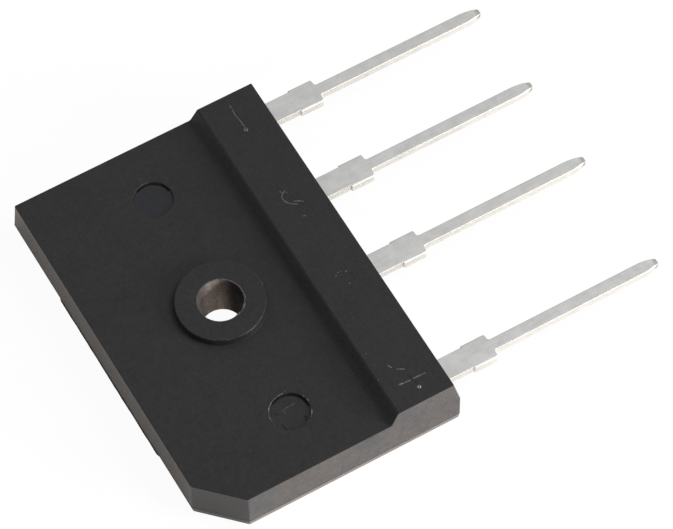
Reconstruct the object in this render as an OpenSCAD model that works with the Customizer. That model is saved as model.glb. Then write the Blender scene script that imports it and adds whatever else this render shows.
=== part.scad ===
// Flat moulded single-phase bridge rectifier, 30 mm body, four leads in line.
// It lies on its flat back. The origin is on the axis of the mounting hole, at the back face.
// +Z is the normal of the marked front, the leads point to -Y and the + lead is at -X.

/* [Body] */
// Length of the body at its widest line
body_len = 30; // [29:0.1:32]
// Width of the body from the lead face to the back edge
body_wid = 20.3; // [19.7:0.1:22]
// Thickness behind the step
thin_h = 3.5; // [3.4:0.05:3.8]
// Thickness of the band beside the leads
thick_h = 4.6; // [4.4:0.05:5]
// Width of the thick band, from the lead face to the top of the step
band_wid = 5; // [4.4:0.1:5.6]
// Run of the sloping step between the two thicknesses
step_run = 0.6; // [0.3:0.05:0.8]
// Size of the 45 degree corner cut beside the + lead
corner_cut = 3; // [2:0.1:3.4]

/* [Mould] */
// Height of the lower mould half round the ends and the back
foot_h = 0.7; // [0.5:0.05:0.9]
// Draft of the lower mould half in degrees
foot_draft = 10; // [2:1:15]
// Draft of the two ends in degrees
end_draft = 5; // [1:0.5:6]
// Draft of the back edge in degrees
back_draft = 3; // [1:0.5:6]
// Draft of the lead face above the parting line in degrees
face_draft = 12; // [3:0.5:14]
// Draft of the lead face below the parting line in degrees
face_low_draft = 3.5; // [1:0.5:6]

/* [Mounting hole] */
// Distance from the lead face to the axis of the hole
hole_setback = 11.2; // [10.8:0.1:11.6]
// Diameter of the straight hole
hole_d = 3.1; // [3:0.05:3.3]
// Diameter of the hole at the top of the boss
hole_top_d = 3.4; // [3.35:0.05:3.6]
// Diameter of the washer seat on top of the boss
boss_d = 6.6; // [6:0.1:7]
// Height of the boss above the thin face
boss_h = 0.55; // [0.4:0.05:0.8]
// Draft of the side of the boss in degrees
boss_draft = 12; // [3:1:20]

/* [Ejector marks] */
// Diameter of each ejector pin mark
mark_d = 3; // [2:0.1:3.4]
// Depth of each ejector pin mark
mark_depth = 0.12; // [0.05:0.01:0.2]
// Distance of the ejector pin marks from the hole
mark_x = 10.1; // [8:0.05:11]

/* [Leads] */
// Thickness of the lead frame sheet
lead_t = 0.65; // [0.6:0.01:0.75]
// Height of the underside of the leads above the back face
lead_z = 2.5; // [2.3:0.05:2.7]
// Spacing from the + lead to the next one
plus_pitch = 10; // [9.8:0.05:10.2]
// Spacing of the other leads
lead_pitch = 7.5; // [7.3:0.05:7.7]
// Width of a lead where it leaves the body
root_w = 1.85; // [1.6:0.05:2.1]
// How far the trimmed tie bars stand out on each side of the lead
tie_out = 0.15; // [0.05:0.01:0.2]
// Distance from the lead face to the tie bars
tie_start = 1.95; // [1.5:0.05:2.4]
// Distance from the lead face to the shoulder
shoulder = 3.9; // [3.6:0.05:4.4]
// Radius of the shoulder corners, outside and inside
shoulder_r = 0.15; // [0.1:0.05:0.35]
// Width of the pin
pin_w = 0.95; // [0.9:0.05:1.1]
// Distance from the lead face to the tip of the pin
pin_len = 17.8; // [17:0.1:19]
// Length of the pointed end of the pin
tip_len = 1.1; // [0.8:0.1:2]
// Width of the flat at the tip
tip_w = 0.5; // [0.3:0.05:0.7]
// Length of the coined end, where the pin gets thinner
coin_len = 0.6; // [0.3:0.1:1.5]
// Thickness of the flat at the tip
tip_t = 0.4; // [0.2:0.05:0.5]

/* [Frame inside the body] */
// Thickness of moulding compound left round the frame
cover = 1; // [0.8:0.05:1.2]
// Height of the underside of the pads above the back face
pad_z = 0.75; // [0.6:0.05:0.9]
// Length of straight lead inside the lead face
grip_len = 1; // [0.8:0.05:1.2]
// Run of the sloping bend from the lead down to the pad
bend_run = 1.5; // [1.2:0.05:1.8]
// Moulding compound left between the hole and the frame
hole_wall = 1.5; // [1.2:0.05:1.6]
// Gap between neighbouring pads
pad_gap = 1; // [0.8:0.05:1.2]
// Width of the strip beside the hole that the first ~ lead runs to
strip_w = 3.4; // [3.2:0.05:3.6]
// Width of the pad of the - lead
minus_pad_w = 5.4; // [5:0.05:5.8]
// Depth of the bar that joins the first ~ lead to its strip
link_w = 0.8; // [0.7:0.05:1]
// Width of the arm that reaches under the second clip
arm_w = 2.8; // [2.4:0.05:3]

/* [Dies and clips] */
// Side of each square diode die
die_w = 2.6; // [2.2:0.05:2.8]
// Thickness of each die
die_t = 0.35; // [0.25:0.01:0.4]
// Thickness of each solder layer
solder_t = 0.06; // [0.04:0.01:0.1]
// Spacing along Y of the first and the third die
die_step = 3.25; // [3.1:0.05:3.6]
// Distance of the fourth die from the axis of the hole along Y
die_4_y = -0.6; // [-2:0.1:1.5]
// Width of each clip
clip_w = 1.6; // [1.2:0.05:1.8]
// Thickness of each clip
clip_t = 0.3; // [0.2:0.01:0.35]
// Length of the flat of a clip on its die
clip_flat = 1.8; // [1.4:0.05:2]
// Length of the foot of a clip on the frame
foot_len = 1.6; // [1.2:0.05:1.8]
// Distance of a clip foot from the edge of its pad
foot_edge = 0.3; // [0.2:0.05:0.4]
// Rise of the bridge of a clip above its flat
clip_rise = 0.5; // [0.3:0.05:0.6]
// Run of each sloping end of the bridge
clip_run = 0.5; // [0.4:0.05:0.6]

/* [Hidden] */
$fn = 64;

// Past any face, so that a cutter or a profile runs right through
past = 1;
// How far the rooms of touching pieces run into each other
lap = 0.1;

// Body outline
half_len = body_len / 2;
front_y = -hole_setback;
back_y = front_y + body_wid;
foot_in = foot_h * tan(foot_draft);
end_in = (thick_h - foot_h) * tan(end_draft);
back_in = (thin_h - foot_h) * tan(back_draft);
face_in = (thick_h - lead_z) * tan(face_draft);
face_low_in = lead_z * tan(face_low_draft);
boss_top = thin_h + boss_h;
boss_base_r = boss_d / 2 + boss_h * tan(boss_draft);

// Lead centres along X
lead_span = plus_pitch + 2 * lead_pitch;
plus_x = -lead_span / 2;
ac_1_x = plus_x + plus_pitch;
ac_2_x = ac_1_x + lead_pitch;
minus_x = ac_2_x + lead_pitch;

// Bend of the frame: equal shifts of both bend lines keep the sheet's thickness
bend_angle = atan((lead_z - pad_z) / bend_run);
bend_shift = lead_t * tan(bend_angle / 2);
bend_y = front_y + grip_len;
pad_front = bend_y + bend_run + bend_shift;
pad_back = back_y - cover;
pad_out = half_len - cover;
pad_top = pad_z + lead_t;
tip_y = front_y - pin_len;
tip_drop = (lead_t - tip_t) / 2;

// Pads, from the hole outwards
hole_keep = hole_top_d / 2 + hole_wall;
strip_out = hole_keep + strip_w;
plus_in = strip_out + pad_gap;
minus_in = pad_out - minus_pad_w;
ac_2_out = minus_in - pad_gap;
arm_left = -hole_keep + pad_gap;
arm_front = pad_front + link_w + pad_gap;
arm_back = arm_front + arm_w;
far_front = hole_keep + pad_gap;
ac_2_back = far_front - pad_gap;

// Heights of the stack on the pads
die_z = pad_top + solder_t;
clip_solder_z = die_z + die_t;
clip_z = clip_solder_z + solder_t;

// Centres of the four dies
plus_pad_x = -(plus_in + pad_out) / 2;
strip_x = -(hole_keep + strip_out) / 2;
ac_2_pad_x = (hole_keep + ac_2_out) / 2;
far_row_y = (far_front + pad_back) / 2;
DIES = [
    [plus_pad_x, far_row_y - die_step],
    [plus_pad_x, (arm_front + arm_back) / 2],
    [strip_x, far_row_y],
    [ac_2_pad_x, die_4_y]
];

// Centre along X of the foot of each clip
arm_foot_x = arm_left + foot_edge + foot_len / 2;
FEET = [
    strip_x,
    arm_foot_x,
    arm_foot_x,
    minus_in + foot_edge + foot_len / 2
];

// Unit normal on the left of the way from a to b
function left_of(a, b) = [a[1] - b[1], b[0] - a[0]] / norm(b - a);

// Where the far side of a sheet of thickness t lies at corner i of path p
function mitre(p, i, t) =
    let(
        n1 = left_of(p[max(i - 1, 0)], p[max(i, 1)]),
        n2 = left_of(p[min(i, len(p) - 2)], p[min(i + 1, len(p) - 1)])
    )
    p[i] + t * (n1 + n2) / (1 + n1 * n2);

// Outline of a folded sheet whose underside follows path p
function folded(p, t) = concat(p, [for (i = [len(p) - 1:-1:0]) mitre(p, i, t)]);

// A Y-Z outline run along X, centred
module along_x(length) {
    rotate([90, 0, 90]) linear_extrude(height = length, center = true) children();
}

// An X-Z outline run along Y, centred
module along_y(length) {
    rotate([90, 0, 0]) linear_extrude(height = length, center = true) children();
}

// A box centred on its place in X and Y that stands on height z
module slab(place, size, z, height) {
    translate([place[0], place[1], z])
        translate([-size[0] / 2, -size[1] / 2, 0])
            cube([size[0], size[1], height]);
}

// ---- Moulded body ----

// Room that a die, its clip and their solder take up in the compound
module stack_room(i) {
    slab(DIES[i - 1], [die_w, die_w], pad_top - lap, lap + solder_t + die_t);
    slab(DIES[i - 1], [clip_flat, clip_w], clip_solder_z - lap, solder_t + 2 * lap);
    slab([FEET[i - 1], DIES[i - 1][1]], [foot_len, clip_w], pad_top - lap, solder_t + 2 * lap);
    clip(i);
}

// Both ends, drafted up and down from the line at foot_h
module end_form() {
    along_y(2 * (body_wid + past))
        polygon([
            [-half_len + foot_in, 0],
            [half_len - foot_in, 0],
            [half_len, foot_h],
            [half_len - end_in, thick_h],
            [-half_len + end_in, thick_h],
            [-half_len, foot_h]
        ]);
}

// Lead face, thick band, step, thin part and back edge
module side_form() {
    along_x(body_len + 2 * past)
        polygon([
            [front_y + face_low_in, 0],
            [back_y - foot_in, 0],
            [back_y, foot_h],
            [back_y - back_in, thin_h],
            [front_y + band_wid + step_run, thin_h],
            [front_y + band_wid, thick_h],
            [front_y + face_in, thick_h],
            [front_y, lead_z]
        ]);
}

// Everything outside the 45 degree corner, drafted like the ends
module corner_form() {
    cut = corner_cut / sqrt(2);
    translate([-half_len, back_y, 0])
        rotate([0, 0, 135])
            along_y(4 * corner_cut)
                polygon([
                    [-cut - foot_in - past * tan(foot_draft), -past],
                    [-cut, foot_h],
                    [-cut - end_in - past * tan(end_draft), thick_h + past],
                    [corner_cut, thick_h + past],
                    [corner_cut, -past]
                ]);
}

// Raised washer seat round the hole
module boss_form() {
    rotate_extrude()
        polygon([
            [0, foot_h],
            [boss_base_r, foot_h],
            [boss_base_r, thin_h],
            [boss_d / 2, boss_top],
            [0, boss_top]
        ]);
}

// Straight hole up to the parting line, then widening to the top of the boss
module hole_form() {
    widening = (hole_top_d - hole_d) / 2 / (boss_top - lead_z);
    translate([0, 0, -past]) cylinder(d = hole_d, h = lead_z + past);
    translate([0, 0, lead_z])
        cylinder(
            r1 = hole_d / 2,
            r2 = hole_top_d / 2 + past * widening,
            h = boss_top - lead_z + past
        );
}

// Shallow round marks of the two ejector pins, one each side of the hole
module mark_form() {
    for (side = [-1, 1])
        translate([side * mark_x, 0, thin_h - mark_depth])
            cylinder(d = mark_d, h = mark_depth + past);
}

module moulded_body() {
    color([0.16, 0.16, 0.16])
        difference() {
            union() {
                intersection() {
                    end_form();
                    side_form();
                }
                boss_form();
            }
            corner_form();
            hole_form();
            mark_form();
            lead_plus();
            lead_ac_1();
            lead_ac_2();
            lead_minus();
            for (i = [1:4])
                stack_room(i);
        }
}

// ---- Lead frame ----

// Side view that all four frames are formed to: coined tip, lead, bend and pad
module formed_side() {
    along_x(body_len + 2 * past)
        polygon([
            [tip_y, lead_z + tip_drop],
            [tip_y + coin_len, lead_z],
            [bend_y, lead_z],
            [bend_y + bend_run, pad_z],
            [back_y, pad_z],
            [back_y, pad_top],
            [bend_y + bend_run + bend_shift, pad_top],
            [bend_y + bend_shift, lead_z + lead_t],
            [tip_y + coin_len, lead_z + lead_t],
            [tip_y, lead_z + lead_t - tip_drop]
        ]);
}

// A flat stamping, seen from above, formed to the side view
module stamped() {
    color([0.75, 0.75, 0.74])
        intersection() {
            linear_extrude(height = thick_h) children();
            formed_side();
        }
}

// Plan of one lead: pointed pin, rounded shoulder, tie bar stubs and root
module lead_plan(x) {
    tie_w = root_w + 2 * tie_out;
    shoulder_y = front_y - shoulder;
    translate([x, 0]) {
        // Root, up to the pad
        translate([-root_w / 2, front_y - tie_start])
            square([root_w, tie_start + pad_front - front_y]);
        // Stubs of the tie bars, with round corners at the shoulder
        translate([-tie_w / 2, shoulder_y + shoulder_r])
            square([tie_w, shoulder - tie_start - shoulder_r]);
        translate([-tie_w / 2 + shoulder_r, shoulder_y])
            square([tie_w - 2 * shoulder_r, shoulder_r]);
        for (side = [-1, 1])
            translate([side * (tie_w / 2 - shoulder_r), shoulder_y + shoulder_r])
                circle(r = shoulder_r);
        // Pin
        polygon([
            [-tip_w / 2, tip_y],
            [tip_w / 2, tip_y],
            [pin_w / 2, tip_y + tip_len],
            [pin_w / 2, shoulder_y + shoulder_r],
            [-pin_w / 2, shoulder_y + shoulder_r],
            [-pin_w / 2, tip_y + tip_len]
        ]);
        // Hollow round where the pin meets the shoulder
        for (side = [-1, 1])
            difference() {
                translate([side * pin_w / 2, shoulder_y])
                    square(2 * shoulder_r, center = true);
                translate([side * (pin_w / 2 + shoulder_r), shoulder_y - shoulder_r])
                    circle(r = shoulder_r);
            }
    }
}

// Rectangle of a pad between two corners
module pad(left, right, front, back) {
    translate([left, front]) square([right - left, back - front]);
}

// Pad of the + lead: it carries the first two dies and clears the corner cut
module lead_plus() {
    stamped() {
        lead_plan(plus_x);
        difference() {
            pad(-pad_out, -plus_in, pad_front, pad_back);
            translate([-half_len, back_y])
                rotate(135)
                    translate([-corner_cut / sqrt(2) - cover, -corner_cut - body_wid])
                        square(2 * (corner_cut + body_wid));
        }
    }
}

// Strip of the first ~ lead: it passes the hole and carries the third die
module lead_ac_1() {
    stamped() {
        lead_plan(ac_1_x);
        pad(-strip_out, ac_1_x + root_w / 2, pad_front, pad_front + link_w);
        pad(-strip_out, -hole_keep, pad_front, pad_back);
    }
}

// Pad of the second ~ lead: it carries the fourth die, with an arm to the second clip
module lead_ac_2() {
    stamped() {
        lead_plan(ac_2_x);
        pad(hole_keep, ac_2_out, pad_front, ac_2_back);
        pad(arm_left, ac_2_out, arm_front, arm_back);
    }
}

// Pad of the - lead, with an arm behind the hole to the third clip
module lead_minus() {
    stamped() {
        lead_plan(minus_x);
        pad(minus_in, pad_out, pad_front, pad_back);
        pad(arm_left, pad_out, far_front, pad_back);
    }
}

// ---- Dies, clips and solder ----

module die_solder(i) {
    color([0.62, 0.62, 0.6])
        slab(DIES[i - 1], [die_w, die_w], pad_top, solder_t);
}

module die(i) {
    color([0.3, 0.32, 0.36])
        slab(DIES[i - 1], [die_w, die_w], die_z, die_t);
}

module clip_solder(i) {
    color([0.62, 0.62, 0.6])
        slab(DIES[i - 1], [clip_flat, clip_w], clip_solder_z, solder_t);
}

// Folded copper strip from the top of a die to the next frame
module clip(i) {
    on_die = DIES[i - 1][0];
    on_foot = FEET[i - 1];
    bridge_z = clip_z + clip_rise;
    color([0.8, 0.5, 0.33])
        translate([0, DIES[i - 1][1], 0])
            along_y(clip_w)
                polygon(folded([
                    [on_die - clip_flat / 2, clip_z],
                    [on_die + clip_flat / 2, clip_z],
                    [on_die + clip_flat / 2 + clip_run, bridge_z],
                    [on_foot - foot_len / 2 - clip_run, bridge_z],
                    [on_foot - foot_len / 2, die_z],
                    [on_foot + foot_len / 2, die_z]
                ], clip_t));
}

module foot_solder(i) {
    color([0.62, 0.62, 0.6])
        slab([FEET[i - 1], DIES[i - 1][1]], [foot_len, clip_w], pad_top, solder_t);
}

moulded_body();
lead_plus();
lead_ac_1();
lead_ac_2();
lead_minus();
die(1);  // die_1
die(2);  // die_2
die(3);  // die_3
die(4);  // die_4
clip(1);  // clip_1
clip(2);  // clip_2
clip(3);  // clip_3
clip(4);  // clip_4
die_solder(1);  // die_solder_1
die_solder(2);  // die_solder_2
die_solder(3);  // die_solder_3
die_solder(4);  // die_solder_4
clip_solder(1);  // clip_solder_1
clip_solder(2);  // clip_solder_2
clip_solder(3);  // clip_solder_3
clip_solder(4);  // clip_solder_4
foot_solder(1);  // foot_solder_1
foot_solder(2);  // foot_solder_2
foot_solder(3);  // foot_solder_3
foot_solder(4);  // foot_solder_4
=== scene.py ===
"""Looks of a flat moulded bridge rectifier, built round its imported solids.

The file is laid out as an add-on. Property groups hold the sizes and the finishes, one operator makes
each group of pieces, and a panel in the sidebar lists them. Lengths are in metres, in the frame of the
solids: the origin is on the axis of the mounting hole at the back face, +Z is the normal of the marked
front and the leads point to -Y. Meshes are worked on in millimetres and scaled once when finished.
"""

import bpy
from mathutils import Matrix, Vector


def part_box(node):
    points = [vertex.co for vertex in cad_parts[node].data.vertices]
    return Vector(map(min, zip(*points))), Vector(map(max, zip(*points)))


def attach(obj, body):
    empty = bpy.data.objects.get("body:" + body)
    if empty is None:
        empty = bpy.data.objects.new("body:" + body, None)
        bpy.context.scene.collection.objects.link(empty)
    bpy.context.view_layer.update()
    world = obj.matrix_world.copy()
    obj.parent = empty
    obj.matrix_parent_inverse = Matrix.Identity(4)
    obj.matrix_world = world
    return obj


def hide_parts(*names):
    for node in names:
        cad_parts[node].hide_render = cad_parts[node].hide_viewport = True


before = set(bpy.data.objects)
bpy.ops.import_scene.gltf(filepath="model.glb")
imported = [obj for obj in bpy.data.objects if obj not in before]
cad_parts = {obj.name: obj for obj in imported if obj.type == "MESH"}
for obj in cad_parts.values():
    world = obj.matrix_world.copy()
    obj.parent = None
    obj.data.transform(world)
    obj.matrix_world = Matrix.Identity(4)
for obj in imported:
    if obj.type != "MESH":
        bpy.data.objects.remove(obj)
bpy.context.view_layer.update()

import math
from types import SimpleNamespace

import bmesh
import bpy
from bpy.props import FloatProperty, FloatVectorProperty, IntProperty, PointerProperty
from mathutils import Matrix, Vector

bl_info = {
    "name": "Flat bridge rectifier",
    "version": (1, 0, 0),
    "blender": (4, 5, 0),
    "location": "View3D > Sidebar > Rectifier",
    "description": "Makes the housing, the leads and the marks of a flat bridge rectifier",
    "category": "Object",
}

MM = 0.001
LEADS = ("lead_plus", "lead_ac_1", "lead_ac_2", "lead_minus")
HOUSING_BOX, LEAD_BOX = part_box("moulded_body"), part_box("lead_plus")
LEAD_SHEET = 0.00065

# From here to the sizes, lengths are in millimetres.
HOUSING_LOW, HOUSING_HIGH = (corner / MM for corner in HOUSING_BOX)
HOUSING_TOP = HOUSING_BOX[1].z / MM
LEAD_FACE = HOUSING_BOX[0].y / MM
LEAD_TIP = LEAD_BOX[0].y / MM
PAD_LEVEL = LEAD_BOX[0].z / MM
LEAD_LEVEL = (LEAD_BOX[1].z - LEAD_SHEET) / MM

CUT_REACH = 1e-5  # a cut goes through points that are nearer than this
CLEARANCE = 1.0  # how far cutters and the untrimmed block stand past the housing
LEAST_HOUSING_FACES = 500  # fewer mean that the seat, the hole or a mark failed
TIP_LEAN = 0.1  # how much longer one side of a lead's point is, as a share
PIN_SLICE, PIN_SLICES = 1.5, 8  # distance between the slices of a pin, and their number
ROOT_SLICE = 0.5  # distance from the lead face to the first slice
BACK_FLASH_HEIGHT = 0.03
BACK_FLASH_ENDS = (8.1, -6.9)  # where the flash along the back edge starts and ends
BURRS = ((-9, 16), (-71, 7), (-88, 9), (-127, 14), (49, 9), (76, 14))  # start and run, in degrees
DOT_PROFILE = ((0.0, 0.004), (0.04, 0.006), (0.08, 0.022), (0.12, 0.026), (0.16, 0.015), (0.19, -0.01))
WHITE = (1, 1, 1, 1)


# ---- Sizes and finishes ----


def length(name, description, default):
    """A length property in metres."""
    return FloatProperty(
        name=name, description=description, default=default, min=0.0, unit="LENGTH", precision=5
    )


def angle(name, description, degrees):
    """An angle property, given in degrees."""
    return FloatProperty(
        name=name,
        description=description,
        default=math.radians(degrees),
        min=0.0,
        max=math.radians(45),
        subtype="ANGLE",
    )


def share(name, description, default):
    """A property between 0 and 1."""
    return FloatProperty(
        name=name, description=description, default=default, min=0.0, max=1.0, subtype="FACTOR"
    )


def colour(name, description, default):
    """A linear colour property."""
    return FloatVectorProperty(
        name=name,
        description=description,
        default=default,
        size=3,
        min=0.0,
        max=1.0,
        subtype="COLOR",
    )


class HousingSizes(bpy.types.PropertyGroup):
    """Sizes of the moulded housing."""

    thin_height: length("Thin height", "Thickness behind the step", 0.0035)
    band_width: length("Band width", "Width of the thick band beside the leads", 0.005)
    step_run: length("Step run", "Run of the sloping step", 0.0006)
    corner_cut: length("Corner cut", "Size of the 45 degree corner cut", 0.003)
    foot_height: length("Foot height", "Height of the parting line round the ends", 0.0007)
    face_parting: length("Face parting", "Height of the parting line on the lead face", 0.0025)
    foot_draft: angle("Foot draft", "Draft below the parting line", 10)
    end_draft: angle("End draft", "Draft of the two ends", 5)
    back_draft: angle("Back draft", "Draft of the back edge", 3)
    face_draft: angle("Face draft", "Draft of the lead face above its parting line", 12)
    face_low_draft: angle("Lower face draft", "Draft of the lead face below it", 3.5)
    boss_radius: length("Boss radius", "Radius of the washer seat", 0.0033)
    boss_height: length("Boss height", "Height of the washer seat above the thin face", 0.00055)
    boss_draft: angle("Boss draft", "Draft of the side of the washer seat", 12)
    hole_radius: length("Hole radius", "Radius of the mounting hole", 0.00155)
    hole_top_radius: length("Hole top radius", "Radius of the hole at the washer seat", 0.0017)
    mark_radius: length("Ejector mark radius", "Radius of the ejector marks", 0.0015)
    mark_depth: length("Ejector mark depth", "Depth of the ejector marks", 0.00012)
    mark_offset: length("Ejector mark offset", "Distance of the marks from the hole", 0.0101)
    edge_round: length("Edge rounding", "Rounding of the outer edges", 0.00005)
    corner_round: length("Corner rounding", "Rounding of the upright corners", 0.00009)
    step_round: length("Step rounding", "Rounding at the foot of the step", 0.0002)
    lip_round: length("Lip rounding", "Rounding of the lips of the hole and the seat", 0.00006)


class LeadSizes(bpy.types.PropertyGroup):
    """Sizes of the four stamped leads and of their pads inside the housing."""

    sheet: length("Sheet", "Thickness of the lead frame sheet", LEAD_SHEET)
    plus_pitch: length("First pitch", "Spacing from the + lead to the next one", 0.010)
    pitch: length("Pitch", "Spacing of the other leads", 0.0075)
    root_width: length("Root width", "Width where a lead leaves the housing", 0.00185)
    tie_out: length("Tie bar stub", "How far the trimmed tie bars stand out", 0.00015)
    tie_start: length("Tie bar start", "Distance from the lead face to the tie bars", 0.00195)
    shoulder: length("Shoulder", "Distance from the lead face to the shoulder", 0.0039)
    shoulder_round: length("Shoulder rounding", "Radius of the shoulder corners", 0.0002)
    pin_width: length("Pin width", "Width of the pin", 0.00095)
    tip_length: length("Tip length", "Length of the pointed end", 0.0011)
    tip_width: length("Tip width", "Width of the flat at the tip", 0.0005)
    coin_length: length("Coined length", "Length of the thinned end", 0.0006)
    tip_sheet: length("Tip thickness", "Thickness at the tip", 0.0004)
    rolled: length("Rolled edge", "Rounding of the upper edges by the punch", 0.00006)
    roll_over: length("Roll over", "Droop of the upper edges of the tie bar stubs", 0.00012)
    cover: length("Cover", "Moulding compound left round the frame", 0.001)
    grip: length("Grip", "Straight lead inside the lead face", 0.001)
    bend_run: length("Bend run", "Run of the slope from the lead down to the pad", 0.0015)
    hole_wall: length("Hole wall", "Moulding compound between the hole and the frame", 0.0015)
    pad_gap: length("Pad gap", "Gap between neighbouring pads", 0.001)
    strip_width: length("Strip width", "Width of the strip beside the hole", 0.0034)
    minus_pad_width: length("- pad width", "Width of the pad of the - lead", 0.0054)
    link_width: length("Link width", "Depth of the bar to the strip", 0.0008)
    arm_width: length("Arm width", "Width of the arm under the second clip", 0.0028)


class MarkSizes(bpy.types.PropertyGroup):
    """Sizes of the polarity signs, the mould flash and the flecks."""

    sign_setback: length("Sign setback", "Distance from the lead face to the signs", 0.00270)
    stroke: length("Stroke width", "Width of a stroke of a sign", 0.00011)
    raised: length("Stroke relief", "How far a stroke stands up", 0.000012)
    flash_out: length("Flash width", "Width of the flash along the back edge", 0.00009)
    seed: IntProperty(name="Seed", description="Seed of the uneven marks", default=7, min=0)


class Finishes(bpy.types.PropertyGroup):
    """Colours and roughness of the materials."""

    compound: colour("Moulding compound", "Colour of the housing", (0.0095, 0.0095, 0.0095))
    # Painted reflection: the drafted walls are about five times lighter than the compound, standing in
    # for the floor they reflect, with a warm resin tint.
    skin: colour("Resin skin", "Colour of the drafted walls", (0.045, 0.0405, 0.0378))
    chalk: colour("Marking", "Colour of the signs and flecks", (0.11, 0.11, 0.113))
    # Painted reflection: the walls below the parting line lean down and are painted paler still,
    # standing in for the lit floor beside them.
    foot: colour("Foot", "Colour of the walls below the parting line", (0.105, 0.088, 0.078))
    # Painted reflection: the back wall's colour stands in for the shadowed floor it reflects.
    rear_reflection: colour("Rear", "Colour of the back wall", (0.062, 0.050, 0.042))
    # Painted light and shade in the hole: this is the colour of its lit side, the next one the colour
    # of its side in shade.
    bore: colour("Bore", "Colour of the burnished side of the hole", (0.125, 0.103, 0.090))
    shaded_bore: colour("Dark bore", "Colour of the other side of the hole", (0.005, 0.004, 0.004))
    # Painted shadow: the dark arcs in the ejector marks and the side of the washer seat.
    stain: colour("Stain", "Colour of the stains round the marks", (0.002, 0.002, 0.002))
    mark_floor: colour("Mark floor", "Colour of the smooth mark's floor", (0.012, 0.013, 0.018))
    # Painted highlight: the pale bluish ring on each glazed dot.
    dot_ring_highlight: colour("Dot ring", "Colour of the ring of a glazed dot", (0.28, 0.28, 0.33))
    dot_pit: colour("Dot pit", "Colour of the middle of a glazed dot", (0.012, 0.012, 0.016))
    flash: colour("Flash", "Colour of thin resin flash", (0.030, 0.022, 0.018))
    tin: colour("Tin", "Colour of the plated leads", (0.42, 0.42, 0.412))
    # Painted reflection: the punched sides are painted near white, standing in for the lit floor they
    # reflect.
    tin_side: colour("Tin side", "Colour of the burnished punched sides", (0.71, 0.685, 0.64))
    bare_edge: colour("Bare edge", "Colour of the punched edges", (0.27, 0.235, 0.215))
    copper: colour("Copper", "Colour of the clips", (0.62, 0.33, 0.22))
    silicon: colour("Silicon", "Colour of the dies", (0.10, 0.11, 0.13))
    solder: colour("Solder", "Colour of the solder layers", (0.40, 0.40, 0.39))
    compound_roughness: share("Compound roughness", "Roughness of the housing", 0.55)
    tin_roughness: share("Tin roughness", "Roughness of the leads", 0.42)


class StageLook(bpy.types.PropertyGroup):
    """Floor, light and camera."""

    ambient: FloatProperty(
        name="Ambient", description="Strength of the even light", default=0.38, min=0.0
    )
    key_power: FloatProperty(
        name="Key", description="Power of the key lamp", default=4.55, min=0.0, unit="POWER"
    )
    fill_power: FloatProperty(
        name="Fill", description="Power of the low side lamp", default=9.2, min=0.0, unit="POWER"
    )
    floor_glow: share("Floor glow", "Brightness of the floor where no light falls", 1.0)
    focal_length: FloatProperty(
        name="Focal length", description="Focal length of the camera in mm", default=231.2
    )


def in_mm(group):
    """The values of a property group, with its lengths in millimetres."""
    values = {}
    for key in group.__annotations__:
        value = getattr(group, key)
        is_length = group.bl_rna.properties[key].unit == "LENGTH"
        values[key] = value / MM if is_length else value
    return SimpleNamespace(**values)


# ---- Node trees ----


def node_operator(kind, swapped=False):
    """A method that works a value and another term in a node of that kind."""

    def method(self, other):
        return self.work(kind, *((other, self) if swapped else (self, other)))

    return method


def spread(term, ending=()):
    """A term for a vector or colour socket, where a bare number is given three times."""
    is_number = not isinstance(term, Wire) and not hasattr(term, "__len__")
    return (term,) * 3 + ending if is_number else term


class Wire:
    """A value, vector or colour on its way through a node tree, with Python's operators."""

    def __init__(self, tree, socket):
        self.tree = tree
        self.socket = socket

    def beside(self, output):
        """Another output of the same node."""
        found = [s for s in self.socket.node.outputs if s.identifier == output]
        return Wire(self.tree, found[0])

    def work(self, operation, *terms):
        """A Math node, or a Vector Math or Mix node where a term is a vector or a colour."""
        kinds = {term.socket.type for term in terms if isinstance(term, Wire)}
        if "RGBA" in kinds:
            a, b = (spread(term, (1,)) for term in terms)
            return self.tree.add(
                "ShaderNodeMix",
                {"data_type": "RGBA", "blend_type": operation},
                {"Factor_Float": 1.0, "A_Color": a, "B_Color": b},
                "Result_Color",
            )
        if "VECTOR" in kinds:
            a, b = (spread(term) for term in terms)
            return self.tree.add(
                "ShaderNodeVectorMath", {"operation": operation}, {"Vector": a, "Vector_001": b}
            )
        names = ("Value", "Value_001")
        return self.tree.add("ShaderNodeMath", {"operation": operation}, dict(zip(names, terms)))

    __add__, __radd__ = node_operator("ADD"), node_operator("ADD", swapped=True)
    __sub__, __rsub__ = node_operator("SUBTRACT"), node_operator("SUBTRACT", swapped=True)
    __mul__, __rmul__ = node_operator("MULTIPLY"), node_operator("MULTIPLY", swapped=True)
    __truediv__ = node_operator("DIVIDE")
    __pow__ = node_operator("POWER")
    __lt__ = node_operator("LESS_THAN")
    least = node_operator("MINIMUM")
    most = node_operator("MAXIMUM")

    def __neg__(self):
        return 0 - self

    def __abs__(self):
        return self.work("ABSOLUTE", self)

    def rise(self, low, high):
        """0 below low, 1 above high and smooth between them."""
        return self.tree.add(
            "ShaderNodeMapRange",
            {"interpolation_type": "SMOOTHSTEP"},
            {"Value": self, "From Min": low, "From Max": high},
        )

    def near(self, centre, reach):
        """1 at centre, falling smoothly to 0 at that reach on both sides."""
        return 1 - abs(self - centre).rise(0.0, reach)

    def part(self, axis):
        """One component of a vector."""
        return self.tree.add("ShaderNodeSeparateXYZ", {}, {"Vector": self}, axis)

    def parts(self):
        """The three components of a vector."""
        return [self.part(axis) for axis in "XYZ"]

    def blend(self, first, second):
        """The first colour where this value is 0, the second where it is 1."""
        return self.tree.add(
            "ShaderNodeMix",
            {"data_type": "RGBA"},
            {"Factor_Float": self, "A_Color": first, "B_Color": second},
            "Result_Color",
        )


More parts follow.
